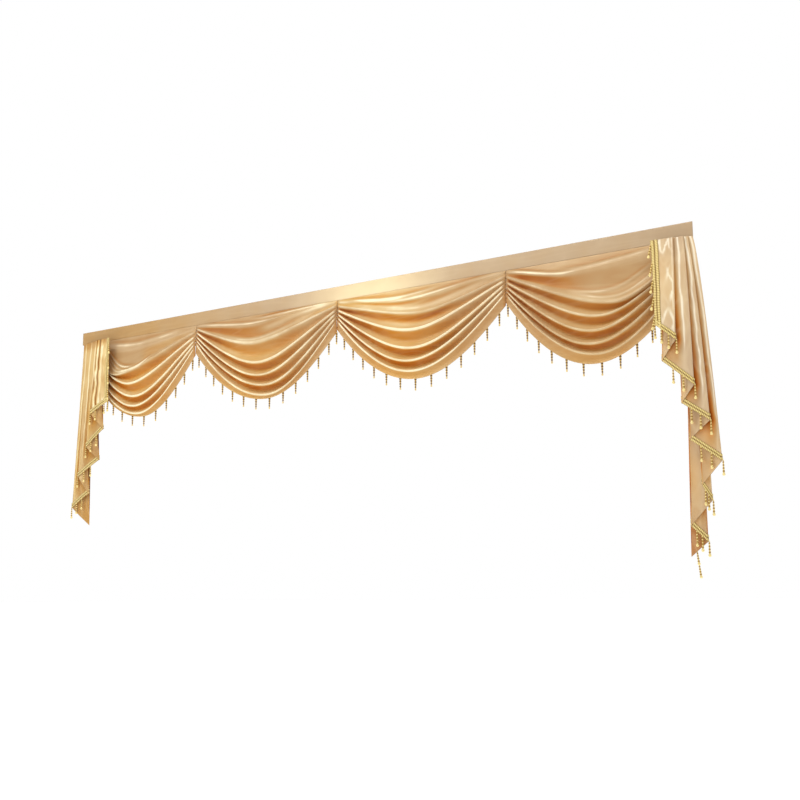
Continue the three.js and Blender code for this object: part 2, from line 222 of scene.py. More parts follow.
# Seam allowance behind each joint of two swags: a short folded strip of the band's satin, sewn
# to the band's lower edge, that the ends of the two cloths are stitched to.
JOINTS = (-764, 10.2, 784.6)
STRIP_WIDTH, STRIP_DEPTH, STRIP_HEIGHT, STRIP_ROUNDING = 12, 1.4, 122, 0.4
STRIP_FORWARD, SEAM_GAP = 1.15, 0.3
for number, joint in enumerate(JOINTS, start=1):
    bm = bmesh.new()
    bmesh.ops.create_cube(bm, size=1.0)
    strip_size = Matrix.Diagonal((STRIP_WIDTH * MM, STRIP_DEPTH * MM, STRIP_HEIGHT * MM, 1.0))
    middle = Vector((joint, -STRIP_FORWARD, -BAND_HEIGHT - SEAM_GAP - STRIP_HEIGHT / 2)) * MM
    bmesh.ops.transform(bm, matrix=Matrix.Translation(middle) @ strip_size, verts=bm.verts)
    bmesh.ops.bevel(
        bm, geom=bm.edges, offset=STRIP_ROUNDING * MM, segments=2, profile=0.5, affect="EDGES",
        material=-1)
    strip = mesh_piece(f"joint_{number}_allowance", bm, band_satin)
    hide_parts(f"joint_strip_{number}")
    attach(strip, "root")

# Swags: four cloths of champagne satin, cut on the cross and drawn up at both ends, so that the
# folds fan out from the pleat stacks at the joints and sag to a deep curve. The hem is turned in.
SEAM_FORWARD, SWAG_THICKNESS = 3.2, 1.2
FOLD_SWELL, FOLD_LEAN, FOLD_ROUND = 0.8, 1.1, 1.2
FIRST_FOLD_TAUT, HEM_TAUT = 3.8, 0.65
# The last of these is the width in mm of the painted highlight along each ridge.
CREST_RISE, CREST_WIDTH, CREST_HIGHLIGHT = 1.6, 5.0, 3.0
# Tones on the ramps of painted shade: in the open cloth, on the hem band, and the painted shadow and its
# warmth where the swag goes flat behind a tail.
OPEN_TONE, HEM_TONE, HIDDEN_TONE, HIDDEN_WARMTH = 0.24, 0.42, 0.4, 0.3
# A fold's depth below the top edge at its left end, its lowest point and its right end, where
# that point is as a share of the width, how far the ridge stands off the wall there and at its
# ends, and the depth of the hollow under it. "hide" is the part that goes flat behind a tail,
# "drops" are the first bead drop, their pitch and number, "crest" the tone of the painted
# highlight on the ridges, "shade" a patch of painted shade on the second fold (from, to, amount),
# "glow" the painted warm light on the lower folds (middle, reach, strength).
FOLD_COLUMNS = ("left", "low", "right", "at", "out", "edge", "tuck")
SWAGS = [
    {
        "name": "swag_1", "from": -1440, "to": -764.4, "hide": ("left", 60, 200), "drops": (65, 72.1, 12),
        "crest": 0.0, "shade": (0.5, 1.0, 0.04), "glow": (0.42, 0.42, 0.95),
        "folds": [
            (58.9, 58.9, 58.9, 0.50, 3.2, 3.2, 3),
            (74, 120, 74, 0.45, 20, 6, 8),
            (92, 237, 86, 0.32, 44, 8, 20),
            (107, 287, 106, 0.46, 50, 9, 19),
            (120, 350, 121, 0.52, 52, 9, 19),
            (134, 394, 137, 0.52, 52, 10, 16),
            (154, 430, 154, 0.55, 50, 10, 4),
            (190, 448, 198, 0.59, 46, 9, 0),
        ],
    },
    {
        "name": "swag_2", "from": -763.6, "to": 9.8, "hide": None, "drops": (37, 71.5, 14),
        "crest": 0.03, "shade": (0.0, 0.62, 0.24), "glow": (0.42, 0.30, 0.9),
        "folds": [
            (58.9, 58.9, 58.9, 0.50, 3.2, 3.2, 2),
            (64, 102, 66, 0.41, 24, 6, 12),
            (76, 188, 79, 0.47, 46, 8, 21),
            (92, 279, 95, 0.52, 54, 9, 23),
            (110, 334, 108, 0.54, 56, 9, 21),
            (126, 378, 124, 0.57, 56, 10, 19),
            (140, 420, 143, 0.57, 52, 10, 4),
            (184, 438, 194, 0.56, 48, 9, 0),
        ],
    },
    {
        "name": "swag_3", "from": 10.6, "to": 784.2, "hide": None, "drops": (62, 70.5, 13),
        "crest": 0.0, "shade": (0.0, 0.5, 0.1), "glow": (0.40, 0.28, 1.0),
        "folds": [
            (58.9, 58.9, 58.9, 0.50, 3.2, 3.2, 3),
            (68, 112, 66, 0.44, 24, 6, 9),
            (84, 172, 81, 0.55, 42, 8, 17),
            (101, 238, 94, 0.51, 52, 9, 22),
            (117, 312, 110, 0.52, 56, 9, 21),
            (131, 360, 126, 0.50, 56, 10, 18),
            (145, 401, 146, 0.51, 52, 10, 4),
            (182, 434, 194, 0.52, 48, 9, 0),
        ],
    },
    {
        "name": "swag_4", "from": 785, "to": 1496, "hide": ("right", 50, 130), "drops": (10, 69.6, 14),
        "crest": 0.1, "shade": (0.0, 0.5, 0.34), "glow": (0.5, 0.3, 0.55),
        "folds": [
            (58.9, 58.9, 58.9, 0.50, 3.2, 3.2, 2),
            (66, 114, 72, 0.37, 26, 7, 12),
            (82, 249, 97, 0.62, 48, 9, 19),
            (104, 291, 112, 0.55, 52, 9, 19),
            (121, 342, 128, 0.52, 54, 10, 20),
            (137, 388, 142, 0.51, 54, 10, 18),
            (150, 426, 159, 0.53, 52, 10, 4),
            (184, 461, 200, 0.51, 48, 9, 0),
        ],
    },
]
# Soft creases across the smooth upper parts, each with a painted highlight along it and painted shade
# beside it: swag, from and to as (share of width, fold step), height in mm and half-width in mm.
CREASES = [
    ("swag_1", (0.20, 1.20), (0.47, 1.82), 4.4, 6),
    ("swag_1", (0.20, 1.40), (0.46, 1.93), 3.6, 4.5),
    ("swag_1", (0.18, 1.55), (0.42, 1.90), 2.6, 5),
    ("swag_1", (0.44, 1.90), (0.62, 1.78), 4.2, 6),
    ("swag_1", (0.20, 0.60), (0.85, 0.40), 2.4, 10),
    ("swag_2", (0.46, 0.50), (0.93, 0.16), 4.6, 7),
    ("swag_2", (0.03, 0.55), (0.62, 0.88), 3.0, 7),
    ("swag_2", (0.50, 1.30), (0.97, 0.90), 2.4, 12),
    ("swag_2", (0.30, 1.80), (0.80, 1.55), 2.0, 10),
    ("swag_3", (0.02, 0.70), (0.60, 0.45), 3.4, 8),
    ("swag_3", (0.40, 0.95), (0.96, 0.45), 3.0, 8),
    ("swag_3", (0.03, 1.40), (0.55, 1.30), 3.0, 8),
    ("swag_3", (0.35, 1.60), (0.92, 1.30), 2.2, 10),
    ("swag_3", (0.30, 2.55), (0.75, 2.45), 2.0, 12),
    ("swag_4", (0.02, 0.70), (0.40, 0.95), 3.4, 7),
    ("swag_4", (0.38, 1.72), (0.80, 1.36), 2.6, 6),
    ("swag_4", (0.44, 1.84), (0.86, 1.62), 2.2, 6),
    ("swag_4", (0.30, 0.75), (0.80, 0.55), 2.2, 9),
]


def mix(a, b, share):
    """The value at share of the way from a to b."""
    return a + (b - a) * share


def smooth_step(low, high, value):
    """0 below low, 1 above high and a soft rise between."""
    t = min(1.0, max(0.0, (value - low) / (high - low)))
    return t * t * (3 - 2 * t)


def folds_of(swag):
    """The swag's folds as named columns; the upper ones hang tauter, straight on both sides."""
    folds = [dict(zip(FOLD_COLUMNS, row)) for row in swag["folds"]]
    for number, fold in enumerate(folds):
        fold["taut"] = mix(FIRST_FOLD_TAUT, HEM_TAUT, number / (len(folds) - 1))
    return folds


def fold_depth(fold, share):
    """Depth of a fold's ridge below the top edge."""
    reach = fold["at"] if share < fold["at"] else 1 - fold["at"]
    away = abs(share - fold["at"]) / reach
    hung = fold["low"] - mix(fold["left"], fold["right"], fold["at"])
    climb = (math.hypot(1, fold["taut"] * away) - 1) / (math.hypot(1, fold["taut"]) - 1)
    return mix(fold["left"], fold["right"], share) + hung * (1 - climb)


def shown_at(swag, x):
    """1 where a swag shows, down to 0 where it has gone flat behind a tail."""
    if not swag["hide"]:
        return 1.0
    side, near, far = swag["hide"]
    return smooth_step(near, far, x - swag["from"] if side == "left" else swag["to"] - x)


def creases_at(creases, share, step, gap):
    """Rise of the soft creases in mm and what they add to the tone: painted highlight on top, painted shade
    beside.
    """
    rise, tone = 0.0, 0.0
    for start, end, height, width in creases:
        run = (share - start[0]) / (end[0] - start[0])
        if -0.15 < run < 1.15:
            line = mix(start[1], end[1], run) + 0.12 * math.sin(3 * run)
            off = (step - line) * gap
            ends = smooth_step(-0.15, 0.2, run) * smooth_step(1.15, 0.8, run)
            beside, on_it = math.exp(-(off / width + 1.5) ** 2), math.exp(-(off / width) ** 2)
            rise += height * ends * on_it
            tone += ends * height / 3 * (0.22 * beside - 0.24 * on_it)
    return rise, tone


def tone_in_fold(share, swell, gap, s, strength):
    """The painted shade at s of the way from a ridge to the next: dark just under the upper
    one, lighter above the lower one. The right side of each swag faces the light, and there only
    a thin painted shadow lies along the lower ridge."""
    wide = smooth_step(40, 85, gap)
    lit_side = smooth_step(0.55, 0.8, share)
    middle = smooth_step(0.25, 0.75, swell) * (1 - 0.7 * lit_side)
    deepest = mix(mix(0.92, 0.42, lit_side), mix(0.76, 0.52, wide), middle)
    lightest = mix(mix(0.42, 0.24, lit_side), mix(0.2, 0.26, wide), middle)
    down_in = smooth_step(0, mix(0.5, 0.2, middle), s)
    up_out = smooth_step(mix(0.62, 0.45, middle), mix(0.9, 0.78, middle), s)
    sunk = mix(mix(0.22, deepest, down_in), lightest, up_out)
    sunk += 0.3 * lit_side * smooth_step(0.82, 0.9, s) * (1 - smooth_step(0.93, 0.97, s))
    return OPEN_TONE + strength * (sunk - OPEN_TONE)


def ridge_highlight(above, below, gap, s):
    """How much of the painted highlight along the ridges above and below lies here."""
    width = max(0.06, CREST_HIGHLIGHT / gap)
    bright = above * (1 - smooth_step(width, 2.2 * width, s))
    bright += below * smooth_step(1 - 1.6 * width, 1 - 0.7 * width, s)
    return min(1.0, bright)


def painted_shade_patch(swag, share, step):
    """The patch of painted shade on the second fold."""
    first, last, _ = swag["shade"]
    across = smooth_step(first, first + 0.1, share) * (1 - smooth_step(last - 0.25, last, share))
    return across * smooth_step(1.05, 1.25, step) * (1 - smooth_step(1.6, 1.85, step))


def swag_point(swag, folds, creases, share, step):
    """Point of the middle of a swag's cloth, in mm, its tone of painted shade and highlight there and
    the warmth of its painted light. A step of 2.3 is 0.3 of the way from the third fold's ridge down to the
    next one's."""
    k = min(len(folds) - 2, int(step))
    s = step - k
    x = mix(swag["from"] + 1, swag["to"] - 1, share)
    shown = shown_at(swag, x)
    swell = max(0.0, 4 * share * (1 - share)) ** FOLD_SWELL
    top, bottom = fold_depth(folds[k], share), fold_depth(folds[k + 1], share)
    depth, gap = mix(top, bottom, s), bottom - top
    above, below = (min(1.0, folds[n]["tuck"] / 16) if n >= 0 else 0.0 for n in (k - 1, k))
    crease_rise, crease_tone = creases_at(creases, share, step, gap)

    ridges = [mix(fold["edge"], fold["out"], swell) for fold in (folds[k], folds[k + 1])]
    hollow = folds[k]["tuck"] * mix(0.28, 1.05, swell) * math.sin(math.pi * s ** FOLD_LEAN) ** FOLD_ROUND
    crest = above * math.exp(-(s * gap / CREST_WIDTH) ** 2)
    crest += below * math.exp(-((1 - s) * gap / CREST_WIDTH) ** 2)
    free = swell * smooth_step(0, 0.5, step) * smooth_step(7.0, 6.6, step)
    uneven = free * (1.6 * wave(x, depth, 120, 1.7) + 0.5 * wave(x, depth, 42, 5.2))
    out = mix(*ridges, s) - hollow + shown * (CREST_RISE * crest * swell + crease_rise + uneven)

    # Painted light: shade in the hollows, a highlight along each ridge, a patch of shade on the second fold,
    # the window's light on the upper folds and shadow behind a tail.
    upper_part = 1 - smooth_step(1.4, 2.6, step)
    tone = tone_in_fold(share, swell, gap, s, below * (1 - 0.45 * upper_part))
    if k == len(folds) - 2:
        tone = HEM_TONE - 0.08 * smooth_step(0.3, 1.0, s)
    patch = painted_shade_patch(swag, share, step)
    tone += crease_tone + swag["shade"][2] * patch - 0.1 * upper_part * glare(x)
    tone = mix(min(1.0, tone), swag["crest"], ridge_highlight(above, below, gap, s))
    from_joint = min(x - swag["from"], swag["to"] - x) if shown == 1.0 else 100
    tone = mix(0.26 + 0.05 * step, tone, smooth_step(1, 16, from_joint))

    # Painted warm light that the folds throw on each other, and the window's light on the upper folds.
    peak, reach, strength = swag["glow"]
    warmth = strength * math.exp(-((share - peak) / reach) ** 2) * (1 - upper_part) + upper_part * glare(x)
    warmth = min(1.0, warmth + 0.3 * patch)
    seen = min(1.0, 3 * shown)
    place = (x, -mix(SEAM_FORWARD, out, shown), -depth)
    return place, max(0.0, mix(HIDDEN_TONE, tone, seen)), mix(HIDDEN_WARMTH, warmth, seen)


def run_of(line):
    """Length of a line of points, measured along it."""
    return sum((Vector(b) - Vector(a)).length for a, b in zip(line, line[1:]))


# Colour ramps of the swags' satin from the painted highlight of a ridge at 0 to the deepest painted shade of
# a crease at 1; the warm one under the painted warm light.
SWAG_WARM = [
    (0.0, "FFF4CE"), (0.12, "DEC08A"), (0.32, "D2A258"), (0.58, "CC862E"), (0.84, "B2601A"), (1.0, "6C300A")]
SWAG_COOL = [
    (0.0, "FCECC8"), (0.12, "CCAE86"), (0.32, "BC9668"), (0.58, "B07A44"), (0.84, "965628"), (1.0, "602C0E")]
champagne = satin("champagne satin", SWAG_WARM, SWAG_COOL, 0.36, ((4.0, 4.0, 26.0), 0.05))
ACROSS, DOWN = 130, 210
for swag in SWAGS:
    folds = folds_of(swag)
    creases = [row[1:] for row in CREASES if row[0] == swag["name"]]

    def swag_grid_point(column, row):
        """The grid's lines lie closer together towards the joints and along the ridges."""
        even = column / ACROSS
        share = mix(even, 0.5 - 0.5 * math.cos(math.pi * even), 0.35)
        step = (len(folds) - 1) * row / DOWN
        closer = 0.45 * math.sin(2 * math.pi * step) / (2 * math.pi)
        return swag_point(swag, folds, creases, share, step - closer)

    cloth = mesh_piece(f"{swag['name']}_cloth", shaped_grid(ACROSS, DOWN, swag_grid_point), champagne)
    hem_run = run_of([swag_grid_point(column, DOWN)[0] for column in range(ACROSS + 1)])
    middle_run = run_of([swag_grid_point(ACROSS // 2, row)[0] for row in range(DOWN + 1)])
    thicken(cloth, SWAG_THICKNESS)
    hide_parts(swag["name"])
    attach(cloth, "root")

# Tails: at each end one long cloth folded to and fro into a stack of pleats, cut on a slant so
# that its hem steps down in a zigzag, the front pleat the shortest. Both sides of the satin show.
TAIL_TOP, PLEAT_BOW, TAIL_THICKNESS, TAIL_CLOTH = 58.9, 2.4, 1.2, 1.0
OUTER_RADIUS, INNER_RADIUS = (1.1, 1.5), (1.1, 2.4)
BRAID_WIDTH = 22
TAIL_COLUMN_WIDTH, TAIL_LEVELS, TURN_STEPS = 4, 160, 5
# A pleat's fold line is at "top" along the valance under the band and at "hem" at its lower end,
# "depth" below the top edge. "front" is the first layer's depth off the wall at the top and hem,
# "step" what each layer behind adds, "flare" how late the folds spread. "rolls" are strips of painted
# highlight and painted shade down the front panel (middle, width, amount), "base" the tone of the
# rest, "top_shadow" and "behind_front" the depth and width of the painted shadow beside the layer in
# front, "top_tone" the painted shade under the band and "last" the tone of the last panel. "edge_drops"
# are bead drops down the free edge, as shares of its length, and "long_drop" is the one that hangs from the
# last pleat.
PLEAT_COLUMNS = ("top", "hem", "depth")
TAILS = [
    {
        "side": "left", "face": 1, "flare": 1.2, "front": (-52, -72), "step": (5.84, 6.4),
        "rolls": [(0.55, 0.06, -0.22), (0.72, 0.04, 0.75), (0.86, 0.05, -0.26), (1.0, 0.04, 0.7)],
        "base": 0.2, "top_shadow": 0.7, "behind_front": 15, "top_tone": 0.3, "last": 0.36,
        "edge_drops": (0.1, 0.34, 0.58, 0.82), "edge_spread": 10,
        "pleats": [
            (-1264, -1238, 362), (-1354, -1357, 411),
            (-1320, -1278, 486), (-1398, -1391, 562),
            (-1365, -1311, 624), (-1446, -1453, 694),
            (-1420, -1386, 774), (-1480, -1499, 835),
            (-1420, -1387, 919),
        ],
    },
    {
        "side": "right", "face": -1, "flare": 0.7, "front": (-52, -86), "step": (3.9, 5.4),
        "rolls": [(0.96, 0.04, -0.18)],
        "base": 0.2, "top_shadow": 0.2, "behind_front": 0, "top_tone": 0.04, "last": 0.58,
        "edge_drops": (0.05, 0.27, 0.47, 0.67, 0.9), "edge_spread": 6,
        "long_drop": {"fold": 11, "across": 0.67, "length": 84, "aside": 10},
        "pleats": [
            (1366, 1384, 362), (1446, 1450, 419),
            (1410, 1399, 485), (1478, 1502, 574),
            (1440, 1456, 631), (1489, 1545, 694),
            (1458, 1474, 752), (1505, 1575, 827),
            (1468, 1504, 901), (1500, 1533, 953),
            (1472, 1457, 1031), (1498, 1509, 1083),
            (1474, 1449, 1130),
        ],
    },
]


def pleat_columns(pleats, panel_steps):
    """Columns down the pleated cloth: (fold, share of the way to the next, angle round the fold)."""
    columns = [(0, 0.0, None)]
    for i in range(len(pleats) - 1):
        if i:
            columns += [(i, 0.0, math.pi * (k / TURN_STEPS - 0.5)) for k in range(TURN_STEPS + 1)]
        steps = panel_steps(abs(pleats[i + 1]["hem"] - pleats[i]["hem"]))
        columns += [(i, k / steps, None) for k in range(1, steps)]
    columns.append((len(pleats) - 1, 0.0, None))
    return columns


def tail_point(tail, pleats, column, level):
    """Point of the middle of the pleated cloth; a level below 0 is counted in mm up from the hem."""
    i, across, turn = column
    after = min(len(pleats) - 1, i + 1)
    length = mix(pleats[i]["depth"], pleats[after]["depth"], across) - TAIL_TOP
    v = 1 + level / length if level < 0 else level
    flare = v ** tail["flare"]

    def fold_x(k):
        return mix(pleats[k]["top"], pleats[k]["hem"], flare)

    def fold_y(k):
        return mix(tail["front"][0] + k * tail["step"][0], tail["front"][1] + k * tail["step"][1], v)

    radius = mix(*(OUTER_RADIUS if i % 2 else INNER_RADIUS), v)
    bulge = math.sin(math.pi * across)
    x = mix(fold_x(i), fold_x(after), across)
    y = mix(fold_y(i), fold_y(after), across) - PLEAT_BOW * v * bulge
    if turn is None and (across > 0 or 0 < i < len(pleats) - 1):
        near_end = min(1.0, abs(fold_x(after) - fold_x(i)) * min(across, 1 - across) / 10)
        y += radius * (1 - near_end) * (1 if across < 0.5 else -1) * (0 if i == 0 and across < 0.5 else 1)
    if turn is not None:
        direction = 1 if fold_x(after) > fold_x(i) else -1
        x += direction * radius * (1 - math.cos(turn))
        y += radius * math.sin(turn)
    z = -TAIL_TOP - v * length
    if i == 0:
        lift = 2.2 * wave(x + 0.5 * z, 0.6 * z, 36, 2.3) + 1.8 * wave(x - 0.6 * z, 0.5 * z, 52, 6.1)
        y -= min(1.0, 3 * v) * bulge ** 0.7 * (1.2 + lift)
    elif turn is None:
        y -= v * bulge * 0.7 * wave(x, 0.25 * z, 26, i + 0.4)
    return x, y, z


def tail_offset(face, rows, distance):
    """The pleated cloth's points moved sideways towards the face of the satin."""
    moved = []
    for row in rows:
        line = []
        for c, (x, y, z) in enumerate(row):
            before, after = row[max(0, c - 1)], row[min(len(row) - 1, c + 1)]
            a = Vector((x - before[0], y - before[1]))
            b = Vector((after[0] - x, after[1] - y))
            if a.length == 0:
                a = b.copy()
            if b.length == 0:
                b = a.copy()
            a.normalize()
            b.normalize()
            mean = (a + b).normalized()
            reach = distance / max(0.5, mean.dot(a))
            line.append((x - face * mean.y * reach, y + face * mean.x * reach, z))
        moved.append(line)
    return moved


# Colour ramps of the tails' satin from painted highlight at 0 to painted shade at 1; the warm ones under the
# painted warm light.
LEFT_WARM = [
    (0.0, "FFF8CC"), (0.1, "F6DC98"), (0.3, "D4A254"), (0.6, "BE8234"), (0.85, "965A1A"), (1.0, "5E300A")]
LEFT_COOL = [
    (0.0, "FFF0C4"), (0.1, "E8C890"), (0.3, "C09660"), (0.6, "A87A44"), (0.85, "825228"), (1.0, "523010")]
RIGHT_WARM = [
    (0.0, "FFF2D4"), (0.12, "E6CA9E"), (0.35, "D6A86C"), (0.6, "D28A42"), (0.85, "B86420"), (1.0, "843E10")]
RIGHT_COOL = [
    (0.0, "FCF0D8"), (0.12, "D6BC9A"), (0.35, "BE9C76"), (0.6, "B88254"), (0.85, "985C34"), (1.0, "6E3C1C")]


def crinkle_highlight(x, z):
    """1 on the creases of a soft lattice of long lozenges, as in satin that was folded for packing: where a
    painted highlight lies.
    """
    bent = x + 7 * wave(x, z, 55, 3.3)
    strength = smooth_step(-0.5, 0.5, wave(x, z, 80, 9.1))
    nearest = min(abs((bent / 34 + slope * z / 120) % 1 - 0.5) for slope in (1, -1))
    return strength * (1 - smooth_step(0.02, 0.2, nearest))


tail_satins = {
    "left": satin("satin of the left tail", LEFT_WARM, LEFT_COOL, 0.33, ((30.0, 30.0, 9.0), 0.12), 0.3),
    "right": satin("satin of the right tail", RIGHT_WARM, RIGHT_COOL, 0.33, ((26.0, 26.0, 9.0), 0.14), 0.3),
}


def front_panel_tone(tail, across, x, z):
    """The front panel: painted highlights and painted shade along the rolls down it, and painted highlights
    on the creases of its lozenges.
    """
    tone = tail["base"] + 0.06 * wave(x, z, 45, 7.7) - 0.24 * crinkle_highlight(x, z)
    for middle, width, change in tail["rolls"]:
        tone += change * math.exp(-((across - middle + 0.05 * wave(0, z, 60, 1.2)) / width) ** 2)
    return tone


def layer_tone(tail, i, x, z):
    """A layer behind the front one: the shadow of the layer before it, then the shine where it
    rolls out into the light. The shadow's strength comes second."""
    front, own = tail["rows"][i - 1], tail["rows"][min(i + 1, len(tail["rows"]) - 1)]
    level = min(1.0, (-z - TAIL_TOP) / (front["depth"] - TAIL_TOP))
    flare = level ** tail["flare"]
    edge = mix(front["top"], front["hem"], flare)
    past = max(0.0, -tail["outward"] * (x - edge))
    below = math.exp(-max(0.0, -z - front["depth"]) / 40)
    wide = 2.5 + 12 * level ** 1.5 + tail["behind_front"] * level
    shadow = math.exp(-(past / wide) ** 2) * mix(tail["top_shadow"], 1.0, level ** 2) * below
    shown_width = abs(mix(own["top"], own["hem"], flare) - edge)
    roll = wide + 0.3 * (shown_width - wide) + 3 * wave(0, z, 70, i + 0.5)
    shine = math.exp(-((past - roll) / 3.6) ** 2) * below
    return tail["base"] + 0.78 * shadow - 0.28 * shine, shadow


for tail in TAILS:
    tail["rows"] = [dict(zip(PLEAT_COLUMNS, row)) for row in tail["pleats"]]
    tail["outward"] = 1 if tail["rows"][0]["hem"] > tail["rows"][1]["hem"] else -1
    columns = pleat_columns(tail["rows"], lambda width: max(8, int(width / TAIL_COLUMN_WIDTH)))

    def tail_grid_point(column, row):
        """Odd panels go back under the layer in front of them, so their tone is even."""
        i, across, _ = columns[column]
        place = tail_point(tail, tail["rows"], columns[column], row / TAIL_LEVELS)
        x, _, z = place
        shadow = 0.0
        if i == 0:
            tone = front_panel_tone(tail, across, x, z)
        elif i % 2 == 0:
            tone, shadow = layer_tone(tail, i, x, z)
        else:
            tone = tail["last"] if i == len(tail["rows"]) - 2 else 0.2 + 0.14 * across
        # Painted shade under the band, and painted warm light, uneven and strongest in the painted shadow.
        tone += tail["top_tone"] * math.exp(-((-z - TAIL_TOP) / 30) ** 2)
        warmth = 0.45 + 0.5 * wave(x, z / 3, 60, 4.4)
        return place, max(0.0, tone), max(0.0, min(1.0, warmth + 1.2 * shadow))

    pleated = shaped_grid(len(columns) - 1, TAIL_LEVELS, tail_grid_point)
    cloth = mesh_piece(f"{tail['side']}_tail_cloth", pleated, tail_satins[tail["side"]])
    hem = [tail_grid_point(column, TAIL_LEVELS)[0] for column in range(len(columns))]
    thicken(cloth, TAIL_CLOTH)
    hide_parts(f"tail_{tail['side']}")
    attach(cloth, "root")

# Braid with its bead drops: a woven gold gimp with two plump cords and a groove between, sewn down
# the free edge of each tail and on along its hem; strings of gold beads hang from it.
BRAID_LAID, BRAID_RAISED, DROP_STAND = (TAIL_THICKNESS / 2 + rise for rise in (0.45, 1.0, 2.35))
BRAID_ROWS, EDGE_STEPS, BRAID_STEP, BRAID_TAPE, HEM_LEVEL = 14, 230, 1.3, 0.7, 0.9999
DROP_LENGTH, DROP_ROOT, EDGE_DROP_FORWARD = 48, 1, 8
FRONT_DROP, LAYER_DROPS = 0.68, (0.36, 0.68)
BEAD_STEPS = 9


def gold_braid_material():
    """Gimp braid of viscose yarn over a cotton core: silky on the cords, with painted shade down in
    the groove between them and between the twists, and a thin fuzz that catches the light."""
    material, tree, shader = new_material("gold gimp braid")
    groove_shade = add_node(tree, "ShaderNodeAttribute", {"attribute_name": "fold"}).outputs["Fac"]
    # Pale on the cords, darker where the painted shade of the groove lies.
    tint = add_node(tree, "ShaderNodeValToRGB", links={"Fac": groove_shade}, steps=[
        (0.0, "FCEDB2"), (0.3, "E8CE7C"), (0.65, "A07C34"), (1.0, "5E4014")])
    tree.links.new(tint.outputs["Color"], shader.inputs["Base Color"])
    shader.inputs["Roughness"].default_value = 0.45
    shader.inputs["IOR"].default_value = 1.5
    shader.inputs["Sheen Weight"].default_value = 0.2
    return material


def bead_material():
    """Moulded polystyrene beads with a thin gold lacquer, alternately pale gold and bronze: small
    hard highlights over a colour that is only slightly metallic."""
    material, tree, shader = new_material("gold beads")
    tone = add_node(tree, "ShaderNodeAttribute", {"attribute_name": "fold"}).outputs["Fac"]
    tint = add_node(tree, "ShaderNodeValToRGB", links={"Fac": tone}, steps=[
        (0.0, "FAE49A"), (0.5, "CCA24A"), (1.0, "7C5618")])
    tree.links.new(tint.outputs["Color"], shader.inputs["Base Color"])
    shader.inputs["Metallic"].default_value = 0.15
    shader.inputs["Roughness"].default_value = 0.3
    shader.inputs["IOR"].default_value = 1.5
    return material


def drop_mesh(name, first_size, last_size, end_size, tones):
    """One string of beads, hanging down from the origin; sizes are radii in mm, from the top down."""
    bm = bmesh.new()
    tone = bm.verts.layers.float.new("fold")
    length = DROP_LENGTH * MM
    for k in range(BEAD_STEPS + 1):
        last = k == BEAD_STEPS
        size = mix(first_size, last_size, k / BEAD_STEPS) * (1.0 if k % 2 else 0.86)
        share = 0.93 if last else mix(0.03, 0.83, k / (BEAD_STEPS - 1))
        radius = (end_size if last else size) * MM
        made = bmesh.ops.create_uvsphere(bm, u_segments=12, v_segments=8, radius=radius)
        bmesh.ops.translate(bm, vec=(0, 0, -share * length), verts=made["verts"])
        for vert in made["verts"]:
            vert[tone] = tones[2] if last else tones[k % 2]
    mesh = bpy.data.meshes.new(name)
    bm.to_mesh(mesh)
    bm.free()
    return mesh


def add_drop(bm, pattern, top, bottom):
    """A string of beads from its root to its end, in mm."""
    top, bottom = Vector(top) * MM, Vector(bottom) * MM
    run = bottom - top
    turn = Vector((0, 0, -1)).rotation_difference(run).to_matrix().to_4x4()
    stretch = Matrix.Diagonal((1, 1, run.length / (DROP_LENGTH * MM), 1))
    string = pattern.copy()
    string.transform(Matrix.Translation(top) @ turn @ stretch)
    bm.from_mesh(string)
    bpy.data.meshes.remove(string)


def cord_rise(width_share, run):
    """Rise of the braid in mm over its tape, and its painted shade, deep in the groove and between the
    twists.
    """
    hump = abs(math.sin(2 * math.pi * (width_share * 0.92 + 0.04)))
    twist = 0.5 + 0.5 * math.sin(2 * math.pi * (run / 6.0 + width_share * 1.6))
    rise = 0.25 + 1.5 * hump ** 0.7 * (0.72 + 0.28 * twist)
    return rise, min(1.0, 0.1 + 0.75 * (1 - hump ** 0.6) + 0.5 * (1 - twist) ** 2)


def strip_mesh(across, down, points, facings):
    """A strip of braid over rows of points, raised along facings into two twisted cords."""
    runs = [0.0]
    middle = points[len(points) // 2]
    for c in range(1, across + 1):
        runs.append(runs[-1] + (Vector(middle[c]) - Vector(middle[c - 1])).length)

    def strip_point(column, row):
        rise, groove_shade = cord_rise(row / down, runs[column])
        place = Vector(points[row][column]) + Vector(facings[row][column]) * rise
        return place, groove_shade, 0.5

    return shaped_grid(across, down, strip_point)


def facing_of(low, high):
    """The directions from the points of one set of rows to those of another."""
    return [[(Vector(b) - Vector(a)).normalized() for a, b in zip(la, lb)] for la, lb in zip(low, high)]


